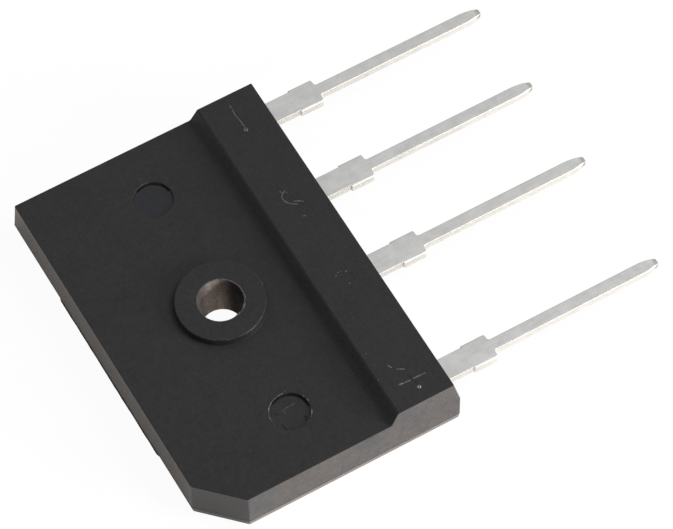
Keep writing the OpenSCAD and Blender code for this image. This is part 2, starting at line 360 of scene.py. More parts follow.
class Tree:
    """A node tree in the making."""

    def __init__(self, tree):
        self.tree = tree

    def add(self, kind, settings=None, values=None, output=0):
        """Adds a node: its settings first, then the values or links of its sockets."""
        node = self.tree.nodes.new(kind)
        for key, value in (settings or {}).items():
            setattr(node, key, value)
        sockets = {s.identifier: s for s in node.inputs}
        for key, value in (values or {}).items():
            if isinstance(value, Wire):
                self.tree.links.new(value.socket, sockets[key])
            else:
                sockets[key].default_value = value
        if not node.outputs:
            return node
        found = {s.identifier: s for s in node.outputs}
        return Wire(self, node.outputs[output] if isinstance(output, int) else found[output])

    def vector(self, x, y, z):
        """A vector from its components."""
        return self.add("ShaderNodeCombineXYZ", {}, {"X": x, "Y": y, "Z": z})


class Finish(Tree):
    """A material whose patterns read Object coordinates in millimetres."""

    def __init__(self, name):
        self.material = bpy.data.materials.new(name)
        self.material.use_nodes = True
        super().__init__(self.material.node_tree)
        self.tree.nodes.clear()
        here = self.add("ShaderNodeTexCoord", output="Object")
        self.place = self.add("ShaderNodeMapping", {}, {"Vector": here, "Scale": (1 / MM,) * 3})
        self.x, self.y, self.z = self.place.parts()
        self.facing = here.beside("Normal")

    def noise(self, scale, detail=2.0, roughness=0.5, stretch=None):
        """Fractal noise from 0 to 1 with that many features a millimetre."""
        where = self.place * stretch if stretch else self.place
        return self.add(
            "ShaderNodeTexNoise",
            {},
            {"Vector": where, "Scale": scale, "Detail": detail, "Roughness": roughness},
        )

    def around(self, x, y):
        """Distance from an upright axis."""
        return ((self.x - x) ** 2 + (self.y - y) ** 2) ** 0.5

    def surface(self, relief, depth, **sockets):
        """Ends the material in a Principled shader. Relief is a height from 0 to 1, depth in mm."""
        values = {key.replace("_", " "): value for key, value in sockets.items()}
        values["Normal"] = self.add(
            "ShaderNodeBump", {}, {"Height": relief, "Distance": depth * MM, "Strength": 1.0}
        )
        shader = self.add("ShaderNodeBsdfPrincipled", {}, values)
        self.add("ShaderNodeOutputMaterial", {}, {"Surface": shader})
        return self.material


def tinted(base, tint):
    """A colour with each component times its own share, or all with one."""
    shares = tint if hasattr(tint, "__len__") else (tint,) * 3
    return (*[portion * component for portion, component in zip(shares, base)], 1)


class Former(Tree):
    """A geometry tree with named inputs. It ends in Realize Instances and Set Material."""

    def __init__(self, name, inputs):
        group = bpy.data.node_groups.new(name, "GeometryNodeTree")
        group.is_modifier = True
        super().__init__(group)
        group.interface.new_socket("Geometry", in_out="INPUT", socket_type="NodeSocketGeometry")
        for label, value in inputs.items():
            kind = "NodeSocketInt" if isinstance(value, int) else "NodeSocketFloat"
            socket = group.interface.new_socket(label, in_out="INPUT", socket_type=kind)
            socket.default_value = value
        group.interface.new_socket("Material", in_out="INPUT", socket_type="NodeSocketMaterial")
        group.interface.new_socket("Geometry", in_out="OUTPUT", socket_type="NodeSocketGeometry")
        self.entry = group.nodes.new("NodeGroupInput")

    def given(self, label):
        """The wire of a named input."""
        return Wire(self, self.entry.outputs[label])

    def moved(self, geometry, **values):
        """The geometry with its points at a Position, or moved by an Offset."""
        return self.add("GeometryNodeSetPosition", {}, {"Geometry": geometry, **values})

    def end(self, geometry, smooth=False):
        """Ends the tree."""
        if smooth:
            geometry = self.add(
                "GeometryNodeSetShadeSmooth", {}, {"Geometry": geometry, "Shade Smooth": True}
            )
        geometry = self.add("GeometryNodeRealizeInstances", {}, {"Geometry": geometry})
        geometry = self.add(
            "GeometryNodeSetMaterial",
            {},
            {"Geometry": geometry, "Material": self.given("Material")},
        )
        self.tree.links.new(geometry.socket, self.add("NodeGroupOutput").inputs[0])

    def put_on(self, thing, **values):
        """Adds the tree to an object as a modifier. Inputs that aren't given keep their defaults."""
        modifier = thing.modifiers.new(self.tree.name, "NODES")
        modifier.node_group = self.tree
        for item in self.tree.interface.items_tree:
            key = item.name.replace(" ", "_").lower()
            if item.in_out == "INPUT" and key in values:
                modifier[item.identifier] = values[key]


# ---- Meshes ----


def mesh_from(name, form):
    """A mesh made from a bmesh, which is spent."""
    mesh = bpy.data.meshes.new(name)
    form.to_mesh(mesh)
    form.free()
    return mesh


def thing_from(name, mesh):
    """An object in the scene that holds a mesh or what a bmesh makes."""
    if isinstance(mesh, bmesh.types.BMesh):
        mesh = mesh_from(name, mesh)
    thing = bpy.data.objects.new(name, mesh)
    bpy.context.scene.collection.objects.link(thing)
    return thing


def settled(thing, *spent):
    """Turns an object with its modifiers into a plain mesh, and removes it and what it used."""
    depsgraph = bpy.context.evaluated_depsgraph_get()
    mesh = bpy.data.meshes.new_from_object(thing.evaluated_get(depsgraph), depsgraph=depsgraph)
    for old in (thing, *spent):
        bpy.data.objects.remove(old)
    return mesh


def hand_over(name, mesh, materials=(), stands_for=()):
    """Finishes a piece: metres, its materials and its place in the frame."""
    mesh.transform(Matrix.Scale(MM, 4))
    for material in materials:
        mesh.materials.append(material)
    piece = thing_from(name, mesh)
    mesh.name = name
    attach(piece, "root")
    if stands_for:
        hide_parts(*stands_for)
    return piece


def shade_smooth(mesh):
    """Marks every face smooth."""
    mesh.polygons.foreach_set("use_smooth", [True] * len(mesh.polygons))


def round_edges(thing, width, clamped=True):
    """Rounds the edges of an object by their weights."""
    modifier = thing.modifiers.new("Rounding", "BEVEL")
    modifier.limit_method = "WEIGHT"
    modifier.width = width
    modifier.segments = 3
    modifier.use_clamp_overlap = clamped


def even_normals(thing):
    """Keeps flat faces flat and shades only the roundings between them."""
    modifier = thing.modifiers.new("Even normals", "WEIGHTED_NORMAL")
    modifier.mode = "FACE_AREA"
    modifier.weight = 50


def geometry_of(mesh):
    """Everything in a bmesh, as its operators take it."""
    return mesh.verts[:] + mesh.edges[:] + mesh.faces[:]


def trim(mesh, point, normal):
    """Cuts away what lies on the outer side of a plane and closes the cut."""
    cut = bmesh.ops.bisect_plane(
        mesh, geom=geometry_of(mesh), plane_co=point, plane_no=normal, clear_outer=True, dist=CUT_REACH
    )
    edges = [e for e in cut["geom_cut"] if isinstance(e, bmesh.types.BMEdge)]
    bmesh.ops.contextual_create(mesh, geom=edges)


def turned(mesh, profile, centre=(0.0, 0.0), around=128):
    """Adds a form of revolution round an upright axis from (radius, height) points."""
    turns = [2 * math.pi * k / around for k in range(around)]
    rings = []
    for radius, height in profile:
        ring = [
            (centre[0] + radius * math.cos(turn), centre[1] + radius * math.sin(turn), height)
            for turn in turns
        ]
        points = ring if radius else [(*centre, height)]
        rings.append([mesh.verts.new(point) for point in points])
    for low, high in zip(rings, rings[1:]):
        for k in range(around):
            j = (k + 1) % around
            if len(low) == 1:
                mesh.faces.new((low[0], high[j], high[k]))
            elif len(high) == 1:
                mesh.faces.new((low[k], low[j], high[0]))
            else:
                mesh.faces.new((low[k], low[j], high[j], high[k]))


def arc(centre, radius, start, end, steps=4):
    """Points on an arc, angles in degrees."""
    turns = [math.radians(start + (end - start) * k / steps) for k in range(steps + 1)]
    return [(centre[0] + radius * math.cos(t), centre[1] + radius * math.sin(t)) for t in turns]


# ---- Housing ----


def edge_rounding(edge, body):
    """Radius of one edge of the block: the step, the flat faces, the corners or a parting line."""
    normals = [face.normal for face in edge.link_faces]
    along = (edge.verts[1].co - edge.verts[0].co).normalized()
    on_flat = max(abs(n.z) for n in normals) > 0.99
    on_slope = any(0.2 < n.z < 0.95 and n.y > 0.5 for n in normals)
    if on_slope and on_flat and abs(along.x) > 0.9:
        return 0.6 * body.step_round if edge.is_convex else body.step_round
    if on_flat or on_slope:
        return body.edge_round
    if abs(along.z) > 0.5:
        return body.corner_round
    return 0.4 * body.edge_round


def housing_block(body):
    """The housing without its boss, hole and marks, with a rounding weight on each edge."""
    low, high = HOUSING_LOW, HOUSING_HIGH
    front, back, top = low.y, high.y, high.z
    foot_in = body.foot_height * math.tan(body.foot_draft)
    outline = [
        (front + body.face_parting * math.tan(body.face_low_draft), 0.0),
        (back - foot_in, 0.0),
        (back, body.foot_height),
        (back - (body.thin_height - body.foot_height) * math.tan(body.back_draft), body.thin_height),
        (front + body.band_width + body.step_run, body.thin_height),
        (front + body.band_width, top),
        (front + (top - body.face_parting) * math.tan(body.face_draft), top),
        (front, body.face_parting),
    ]
    mesh = bmesh.new()
    left, right = (
        [mesh.verts.new((x, y, z)) for y, z in outline]
        for x in (low.x - CLEARANCE, high.x + CLEARANCE)
    )
    mesh.faces.new(left)
    mesh.faces.new(right)
    for k in range(len(outline)):
        j = (k + 1) % len(outline)
        mesh.faces.new((left[k], left[j], right[j], right[k]))
    corner = Vector((low.x, back, body.foot_height))
    inwards = body.corner_cut / math.sqrt(2)
    diagonal = Vector((-1, 1, 0)).normalized()
    for point, out in (
        (Vector((low.x, 0, body.foot_height)), Vector((-1, 0, 0))),
        (Vector((high.x, 0, body.foot_height)), Vector((1, 0, 0))),
        (corner - inwards * diagonal, diagonal),
    ):
        trim(mesh, point, out + Vector((0, 0, math.tan(body.end_draft))))
        trim(mesh, point, out - Vector((0, 0, math.tan(body.foot_draft))))
    bmesh.ops.recalc_face_normals(mesh, faces=mesh.faces[:])
    weight = mesh.edges.layers.float.new("bevel_weight_edge")
    for edge in mesh.edges:
        edge[weight] = edge_rounding(edge, body) / body.step_round
    return mesh


def boss_profile(body):
    """Washer seat: a small fillet at its foot, a drafted side and a rounded top edge."""
    top = body.thin_height + body.boss_height
    foot = body.boss_radius + body.boss_height * math.tan(body.boss_draft)
    lip = body.lip_round
    return [
        (0.0, body.foot_height),
        (foot + 0.5 * lip, body.foot_height),
        (foot + 0.5 * lip, body.thin_height - 0.1 * lip),
        (foot + 0.2 * lip, body.thin_height + 0.3 * lip),
        (foot, body.thin_height + lip),
        *arc((body.boss_radius - 0.8 * lip, top - lip), lip, math.degrees(body.boss_draft), 90),
        (0.0, top),
    ]


def hole_profile(body):
    """Cutter of the mounting hole, flared past both lips."""
    top = body.thin_height + body.boss_height
    lip = body.lip_round
    return [
        (0.0, -CLEARANCE),
        (body.hole_radius + lip + CLEARANCE, -CLEARANCE),
        *arc((body.hole_radius + lip, lip), lip, 270, 180),
        (body.hole_radius, body.face_parting),
        *arc((body.hole_top_radius + lip, top - lip), lip, 180, 90),
        (body.hole_top_radius + lip + CLEARANCE, top + CLEARANCE),
        (0.0, top + CLEARANCE),
    ]


def mark_profile(body):
    """Cutter of an ejector mark."""
    floor = body.thin_height - body.mark_depth
    lip = 0.4 * body.lip_round
    return [
        (0.0, floor),
        *arc((body.mark_radius - lip, floor + lip), lip, 270, 360, 3),
        *arc((body.mark_radius + lip, body.thin_height - lip), lip, 180, 90, 3),
        (body.mark_radius + lip + CLEARANCE / 2, body.thin_height + CLEARANCE / 2),
        (0.0, body.thin_height + CLEARANCE / 2),
    ]


def housing_zones(finish, body):
    """Soft masks of the housing's faces, by where a point lies and which way it faces."""
    facing_x, facing_y, facing_z = finish.facing.parts()
    level = abs(facing_z)
    hole = finish.around(0.0, 0.0)
    upright = 1 - level.rise(0.25, 0.42)
    bore = upright * (1 - hole.rise(body.hole_top_radius, body.hole_top_radius + 0.1))
    within_seat = 1 - hole.rise(body.boss_radius + 0.2, body.boss_radius + 0.3)
    skin = upright * hole.rise(body.boss_radius + 0.3, body.boss_radius + 0.5)
    # Below the parting line, where the lit floor's reflection is painted.
    foot = skin * (1 - finish.z.rise(body.foot_height - 0.04, body.foot_height))
    pressed = finish.around(body.mark_offset, 0.0)
    floors = finish.z.near(body.thin_height - body.mark_depth, 0.04)
    return SimpleNamespace(
        hole=hole,
        bore=bore,
        lamplit=(-facing_y).rise(-0.95, -0.4),
        inward=facing_y * 0.42 - facing_x * 0.91,
        shaded_seat_side=upright * within_seat * (1 - bore),
        skin=skin,
        foot=foot,
        rear_reflection=skin * (1 - foot) * facing_y.rise(0.85, 0.97),
        shaded_cut_face=skin * (facing_y - facing_x).rise(1.25, 1.38),
        slope=level.near(0.55, 0.3) * facing_y.rise(0.4, 0.7),
        pressed_floor=floors * (1 - pressed.rise(1.0, 1.5)),
    )


def pale_lips(finish, body, hole):
    """Where the lips of the washer seat and of the hole are painted pale: the seat's in broken
    patches, the hole's on its -Y side as a painted highlight.
    """
    seat_lip = hole.near(body.boss_radius, 0.05) * finish.noise(1.7, 3.0, 0.7).rise(0.5, 0.68)
    hole_lip = hole.near(body.hole_top_radius + 0.03, 0.08) * finish.noise(2.0, 2.0).rise(0.3, 0.5)
    hole_lip = hole_lip * (finish.x * 0.3 - finish.y).rise(-0.2, 1.2)
    top = body.thin_height + body.boss_height
    return finish.z.near(top, 0.12) * (seat_lip * 0.5 + hole_lip)


def painted_shadow_arcs(finish, body, mottle):
    """Painted shadow: dark arcs inside the rims of the ejector marks, the torn one at -X and the
    pressed one at +X.
    """
    torn = finish.around(-body.mark_offset, 0.0)
    torn_side = (finish.x + body.mark_offset) * 0.8 - finish.y * 0.6
    pressed = finish.around(body.mark_offset, 0.0)
    pressed_side = (finish.x - body.mark_offset) * 0.95 - finish.y * 0.3
    arcs = torn.near(body.mark_radius - 0.12, 0.2) * torn_side.rise(-0.3, 0.7) * (mottle + 0.3)
    return arcs + pressed.near(body.mark_radius - 0.04, 0.13) * pressed_side.rise(-0.7, 0.6)


def bore_colour(finish, look, body, zone):
    """Wall of the hole: upright streaks, with painted light and shade: light on the side towards the
    key lamp, dark on the side in shade, lighter towards its foot and where it faces -X and +Y.
    """
    streaks = finish.noise(2.6, 4.0, 0.65, stretch=(1.0, 1.0, 0.06))
    wall = zone.lamplit.blend((*look.shaded_bore, 1), (*look.bore, 1))
    # Painted light: lighter towards the foot of the hole and where its wall faces -X and +Y.
    deep = finish.z.rise(0.0, body.thin_height + body.boss_height) * -3.8 + 4.5
    across = zone.inward.rise(0.55, 1.0) * 1.3 + 0.5
    return wall * (streaks * 1.3 + 0.35) * deep * across


def skin_and_reflection_colour(finish, look):
    """Drafted walls in warmer and cooler patches, painted about five times lighter than the compound:
    a painted reflection of the floor over a warm resin tint.
    """
    patches = finish.noise(0.45, 3.0, 0.6).rise(0.38, 0.62)
    warmer, cooler = (tinted(look.skin, tint) for tint in ((1.13, 1.07, 1.02), (0.85, 0.88, 0.98)))
    return patches.blend(warmer, cooler)


def compound_finish(look, body):
    """Black moulding compound: fine spark-eroded grain, a warm resin tint on the drafted walls under a
    painted reflection of the floor, pale lips with a painted highlight, and painted light and shade on
    the slope, the corner cut, the hole, the seat's side and in the ejector marks.
    """
    finish = Finish("moulding_compound")
    compound = (*look.compound, 1)
    cloud = finish.noise(0.35, 3.0)
    mottle = finish.noise(2.2, 3.0, 0.6)
    grain = finish.noise(7.0, 4.0, 0.75)
    tone = (cloud - 0.5) * 0.5 + (mottle - 0.5) * 0.9 + (grain - 0.5) * 2.2 + 1.0
    zone = housing_zones(finish, body)
    # Painted reflection of the floor on the drafted walls, over a warm resin tint.
    base = zone.skin.blend(compound, skin_and_reflection_colour(finish, look))
    # Painted reflection of the lit floor on the walls below the parting line.
    base = zone.foot.blend(base, (*look.foot, 1))
    base = zone.bore.blend(base, bore_colour(finish, look, body, zone))
    # Painted shade: the corner cut is darker, standing in for the shadowed floor it reflects.
    base = (zone.shaded_cut_face * 0.65).blend(base, compound)
    # Painted reflection on the back wall.
    base = zone.rear_reflection.blend(base, (*look.rear_reflection, 1))
    # Painted light: the step's slope is painted 2.7 times lighter than the faces round it.
    base = base * tone * (zone.slope * 1.7 + 1.0)
    # Pale lips: broken patches on the seat, and a painted highlight on the hole's lip.
    pale_lip_mask = pale_lips(finish, body, zone.hole)
    base = (pale_lip_mask * 0.8).least(1.0).blend(base, (*look.chalk, 1))
    # Painted shadow in the ejector marks and on the side of the washer seat.
    shade = painted_shadow_arcs(finish, body, mottle).most(zone.shaded_seat_side * 0.55)
    base = (shade * 0.85).least(1.0).blend(base, (*look.stain, 1))
    base = (zone.pressed_floor * 0.5).blend(base, (*look.mark_floor, 1))
    rough = look.compound_roughness + (mottle - 0.5) * 0.12 + (grain - 0.5) * 0.15
    relief = grain * 0.5 + finish.noise(5.0, 3.0, 0.55) * 0.5
    return finish.surface(
        relief * (1 - zone.pressed_floor * 0.8),
        0.012,
        Base_Color=base,
        Roughness=rough - zone.pressed_floor * 0.2 - zone.skin * 0.06,
        Specular_IOR_Level=0.2,
        Coat_Weight=zone.skin * 0.45 + zone.bore * zone.lamplit * 0.2,
        Coat_Roughness=0.35,
    )


class RECTIFIER_OT_housing(bpy.types.Operator):
    """Make the moulded housing with its step, washer seat, hole and ejector marks"""

    bl_idname = "rectifier.housing"
    bl_label = "Housing"

    def execute(self, context):
        body = in_mm(context.scene.rectifier_housing)
        block = thing_from("housing_block", housing_block(body))
        round_edges(block, body.step_round)
        shell = thing_from("housing_shell", settled(block))
        boss, cutters = bmesh.new(), bmesh.new()
        turned(boss, boss_profile(body))
        turned(cutters, hole_profile(body))
        for side in (-1, 1):
            turned(cutters, mark_profile(body), (side * body.mark_offset, 0.0), 96)
        tools = []
        for operation, form in (("UNION", boss), ("DIFFERENCE", cutters)):
            bmesh.ops.recalc_face_normals(form, faces=form.faces[:])
            tools.append(thing_from(operation.lower(), form))
            modifier = shell.modifiers.new(operation.title(), "BOOLEAN")
            modifier.operation = operation
            modifier.object = tools[-1]
            modifier.solver = "EXACT"
        mesh = settled(shell, *tools)
        shade_smooth(mesh)
        shell = thing_from("housing_shell", mesh)
        even_normals(shell)
        mesh = settled(shell)
        if len(mesh.polygons) < LEAST_HOUSING_FACES:
            raise RuntimeError("the housing lost its boss or its hole")
        finish = compound_finish(context.scene.rectifier_finishes, body)
        hand_over("housing", mesh, [finish], ["moulded_body"])
        return {"FINISHED"}


# ---- Leads ----


def lead_centres(lead):
    """Centre of each lead along X."""
    first = -(lead.plus_pitch + 2 * lead.pitch) / 2
    second = first + lead.plus_pitch
    return dict(zip(LEADS, (first, second, second + lead.pitch, second + 2 * lead.pitch)))


def bend_shift(lead):
    """How far the lines of the bend move back from the lower side of the sheet to the upper one."""
    return lead.sheet * math.tan(math.atan((LEAD_LEVEL - PAD_LEVEL) / lead.bend_run) / 2)


def pad_outlines(lead, body):
    """Corners of each pad, anticlockwise from the right of the root to its left."""
    x = lead_centres(lead)
    front = HOUSING_LOW.y + lead.grip + lead.bend_run + bend_shift(lead)
    back = HOUSING_HIGH.y - lead.cover
    outer = HOUSING_HIGH.x - lead.cover
    keep = body.hole_top_radius + lead.hole_wall
    strip = keep + lead.strip_width
    plus_in = strip + lead.pad_gap
    minus_in = outer - lead.minus_pad_width
    ac_2_out = minus_in - lead.pad_gap
    link = front + lead.link_width
    arm_left = lead.pad_gap - keep
    arm_front = link + lead.pad_gap
    arm_back = arm_front + lead.arm_width
    far = keep + lead.pad_gap
    inset = body.corner_cut / math.sqrt(2) + lead.cover
    legs = inset * math.sqrt(2) - lead.cover
    return {
        "lead_plus": [
            (-plus_in, front),
            (-plus_in, back),
            (legs - outer, back),
            (-outer, back - legs),
            (-outer, front),
        ],
        "lead_ac_1": [
            (x["lead_ac_1"] + lead.root_width / 2, link),
            (-keep, link),
            (-keep, back),
            (-strip, back),
            (-strip, front),
        ],
        "lead_ac_2": [
            (ac_2_out, front),
            (ac_2_out, keep),
            (keep, keep),
            (keep, arm_back),
            (arm_left, arm_back),
            (arm_left, arm_front),
            (keep, arm_front),
            (keep, front),
        ],
        "lead_minus": [
            (outer, front),
            (outer, back),
            (arm_left, back),
            (arm_left, far),
            (minus_in, far),
            (minus_in, front),
        ],
    }


def lead_side(lead, lean):
    """One side of a lead from its tip to the lead face, as (distance from its centre, y)."""
    r = lead.shoulder_round
    pin, stub = lead.pin_width / 2, lead.root_width / 2 + lead.tie_out
    step = LEAD_FACE - lead.shoulder
    return [
        (0.30 * lead.tip_width, LEAD_TIP),
        (0.5 * lead.tip_width, LEAD_TIP + 0.07),
        (0.74 * pin, LEAD_TIP + 0.42 * lead.tip_length * lean),
        (0.89 * pin, LEAD_TIP + 0.75 * lead.tip_length * lean),
        (0.97 * pin, LEAD_TIP + 1.02 * lead.tip_length * lean),
        (pin, LEAD_TIP + 1.25 * lead.tip_length * lean),
        *arc((pin + r, step - r), r, 180, 90),
        *arc((stub - r, step + r), r, 270, 360),
        (stub, LEAD_FACE - lead.tie_start),
        (lead.root_width / 2, LEAD_FACE - lead.tie_start),
    ]


def lead_outline(name, lead, body):
    """Outline of one stamping, with a point that is a little longer on its +X side."""
    x = lead_centres(lead)[name]
    half = lead.root_width / 2
    pad = pad_outlines(lead, body)[name]
    front = min(y for _, y in pad)
    right = [(x + out, y) for out, y in lead_side(lead, 1 + TIP_LEAN)]
    left = [(x - out, y) for out, y in lead_side(lead, 1 - TIP_LEAN)][::-1]
    join = [(x + half, front)] if pad[0][1] == front else []
    return right + join + pad + [(x - half, front)] + left


def plate(outline, thickness):
    """A flat plate, with a rounding weight on the edges of its two sides."""
    mesh = bmesh.new()
    plan = mesh.faces.new([mesh.verts.new((*point, 0.0)) for point in outline])
    if plan.normal.z < 0:
        bmesh.ops.reverse_faces(mesh, faces=[plan])
    raised = bmesh.ops.extrude_face_region(mesh, geom=[plan])
    up = [g for g in raised["geom"] if isinstance(g, bmesh.types.BMVert)]
    bmesh.ops.translate(mesh, verts=up, vec=(0, 0, thickness))
    bmesh.ops.recalc_face_normals(mesh, faces=mesh.faces[:])
    weight = mesh.edges.layers.float.new("bevel_weight_edge")
    for edge in mesh.edges:
        a, b = (v.co.z > thickness / 2 for v in edge.verts)
        edge[weight] = 0.0 if a != b else (1.0 if a else 0.4)
    return mesh


def lead_blank(name, lead, body):
    """Flat stamping of one lead, sliced where it is bent, coined or rolled over."""
    mesh = plate(lead_outline(name, lead, body), lead.sheet)
    start, shift = LEAD_FACE + lead.grip, bend_shift(lead)
    step = LEAD_FACE - lead.shoulder
    slices = [LEAD_TIP + lead.coin_length]
    slices += [start, start + shift, start + lead.bend_run, start + lead.bend_run + shift]
    slices += [step - k * PIN_SLICE for k in range(1, PIN_SLICES + 1)]
    slices += [step - lead.shoulder_round, step + lead.shoulder_round]
    slices += [LEAD_FACE - lead.tie_start, LEAD_FACE - ROOT_SLICE]
    for y in slices:
        bmesh.ops.bisect_plane(
            mesh, geom=geometry_of(mesh), plane_co=(0, y, 0), plane_no=(0, 1, 0), dist=CUT_REACH
        )
    x, half = lead_centres(lead)[name], lead.root_width / 2
    # Slices along the sides of the root let the tie bar stubs roll over.
    for offset in (half, half + 0.5 * lead.tie_out):
        for side in (-1, 1):
            faces = [
                face
                for face in mesh.faces
                if face.calc_center_median().y < LEAD_FACE - ROOT_SLICE and abs(face.normal.z) > 0.5
            ]
            edges = {e for face in faces for e in face.edges}
            verts = {v for face in faces for v in face.verts}
            bmesh.ops.bisect_plane(
                mesh,
                geom=[*verts, *edges, *faces],
                plane_co=(x + side * offset, 0, 0),
                plane_no=(1, 0, 0),
                dist=CUT_REACH,
            )
    return mesh


def forming_tree(lead):
    """Forms a flat blank: coins its tip, bends it down to its pad and rolls over its stubs."""
    tree = Former(
        "Form a lead",
        {
            "Sheet": lead.sheet,
            "Lead Height": LEAD_LEVEL,
            "Pad Height": PAD_LEVEL,
            "Bend Start": LEAD_FACE + lead.grip,
            "Bend Run": lead.bend_run,
            "Bend Shift": bend_shift(lead),
            "Tip End": LEAD_TIP,
            "Coined Length": lead.coin_length,
            "Tip Sheet": lead.tip_sheet,
            "Centre": 0.0,
            "Half Width": lead.root_width / 2,
            "Overhang": lead.tie_out,
            "Roll Over": lead.roll_over,
            "Lead Face": LEAD_FACE,
        },
    )
    x, y, z = tree.add("GeometryNodeInputPosition").parts()
    sheet, tip_sheet = tree.given("Sheet"), tree.given("Tip Sheet")
    height = z / sheet
    start = tree.given("Bend Start") + height * tree.given("Bend Shift")
    down = ((y - start) / tree.given("Bend Run")).most(0.0).least(1.0)
    coined = ((y - tree.given("Tip End")) / tree.given("Coined Length")).most(0.0).least(1.0)
    thickness = tip_sheet + (sheet - tip_sheet) * coined
    level = tree.given("Lead Height") + sheet * 0.5 + (height - 0.5) * thickness
    level = level - down * (tree.given("Lead Height") - tree.given("Pad Height"))
    beyond = (abs(x - tree.given("Centre")) - tree.given("Half Width")) / tree.given("Overhang")
    beyond = beyond.most(0.0).least(1.0) * (y < tree.given("Lead Face"))
    level = level - beyond**2.0 * height * tree.given("Roll Over")
    tree.end(tree.moved(tree.given("Geometry"), Position=tree.vector(x, y, level)))
    return tree


def tin_finish(look):
    """Matt tin plating: rolling lines, small dull patches, pale punched sides that are a painted
    reflection of the lit floor, and bare edges.
    """
    finish = Finish("matt_tin_plating")
    lines = finish.noise(9.0, 3.0, 0.6, stretch=(1.0, 0.05, 1.0))
    patches = finish.noise(1.4, 3.0, 0.55)
    grain = finish.noise(22.0, 2.0, 0.6)
    up = finish.facing.part("Z")
    side = 1 - abs(up).rise(0.45, 0.75)
    edge = up.near(0.84, 0.15) * (0.5 + patches * 0.9)
    tip = 1 - (finish.y - LEAD_TIP).rise(0.1, 0.55)
    tone = (lines - 0.5) * 0.12 + (patches - 0.5) * 0.16 + (grain - 0.5) * 0.16 + 1.0
    tone = tone * (1 - up.near(0.45, 0.35) * 0.4)
    # Painted reflection: the sides take the pale colour.
    base = side.blend((*look.tin, 1), (*look.tin_side, 1))
    base = edge.most(tip * 0.8).least(1.0).blend(base, (*look.bare_edge, 1)) * tone
    return finish.surface(
        grain * 0.4 + lines * 0.6,
        0.006,
        Base_Color=base,
        Roughness=look.tin_roughness + (patches - 0.5) * 0.16 + (lines - 0.5) * 0.12,
        Metallic=1.0,
    )


class RECTIFIER_OT_leads(bpy.types.Operator):
    """Make the four leads: stamped, rounded, formed and plated"""

    bl_idname = "rectifier.leads"
    bl_label = "Leads"

    def execute(self, context):
        lead = in_mm(context.scene.rectifier_leads)
        body = in_mm(context.scene.rectifier_housing)
        finish = tin_finish(context.scene.rectifier_finishes)
        tree = forming_tree(lead)
        for name, centre in lead_centres(lead).items():
            blank = thing_from(name + "_blank", lead_blank(name, lead, body))
            shade_smooth(blank.data)
            round_edges(blank, lead.rolled, clamped=False)
            tree.put_on(blank, centre=centre, material=finish)
            even_normals(blank)
            hand_over(name + "_plated", settled(blank), (), [name])
        return {"FINISHED"}


# ---- Signs, flash and flecks ----


def paths_mesh(paths):
    """A mesh of open lines."""
    mesh = bmesh.new()
    for path in paths:
        verts = [mesh.verts.new(point) for point in path]
        for pair in zip(verts, verts[1:]):
            mesh.edges.new(pair)
    return mesh


def at_height(z, *paths):
    """Flat paths lifted to one height."""
    return [[(x, y, z) for x, y in path] for path in paths]


def bead_tree():
    """A bead along paths: uneven, broken where its noise is low and flattened towards a height."""
    tree = Former(
        "Bead along a path",
        {
            "Radius": 0.05,
            "Sample": 0.05,
            "Unevenness": 0.5,
            "Wander": 0.0,
            "Feature": 0.3,
            "Gaps": 0.0,
            "Height": 0.0,
            "Flatness": 0.3,
            "Seed": 7,
        },
    )
    place = tree.add("GeometryNodeInputPosition")
    where = place / tree.given("Feature") + tree.given("Seed") * 3.7
    noise = tree.add("ShaderNodeTexNoise", {}, {"Vector": where, "Scale": 1.0, "Detail": 2.0})
    middle = (0.5, 0.5, 0.5)
    shift = tree.add(
        "ShaderNodeVectorMath",
        {"operation": "SUBTRACT"},
        {"Vector": noise.beside("Color"), "Vector_001": middle},
    )
    line = tree.add("GeometryNodeMeshToCurve", {}, {"Mesh": tree.given("Geometry")})
    line = tree.add(
        "GeometryNodeResampleCurve",
        {"mode": "LENGTH"},
        {"Curve": line, "Length": tree.given("Sample")},
    )
    kept = tree.add(
        "GeometryNodeDeleteGeometry",
        {"domain": "EDGE", "mode": "EDGE_FACE"},
        {
            "Geometry": tree.add("GeometryNodeCurveToMesh", {}, {"Curve": line}),
            "Selection": noise < tree.given("Gaps"),
        },
    )
    line = tree.add("GeometryNodeMeshToCurve", {}, {"Mesh": kept})
    line = tree.moved(line, Offset=shift * tree.given("Wander") * (1.0, 1.0, 0.0))
    along = tree.add("GeometryNodeSplineParameter", output="Factor")
    taper = (along * (1 - along) * 60.0).least(1.0) * 0.7 + 0.3
    size = tree.given("Radius") * (1 + (noise - 0.5) * 2.0 * tree.given("Unevenness")) * taper
    ring = tree.add("GeometryNodeCurvePrimitiveCircle", {}, {"Resolution": 8, "Radius": 1.0})
    bead = tree.add(
        "GeometryNodeCurveToMesh",
        {},
        {"Curve": line, "Profile Curve": ring, "Scale": size, "Fill Caps": True},
    )
    x, y, z = place.parts()
    height = tree.given("Height")
    level = height + (z - height) * tree.given("Flatness")
    tree.end(tree.moved(bead, Position=tree.vector(x, y, level)), smooth=True)
    return tree


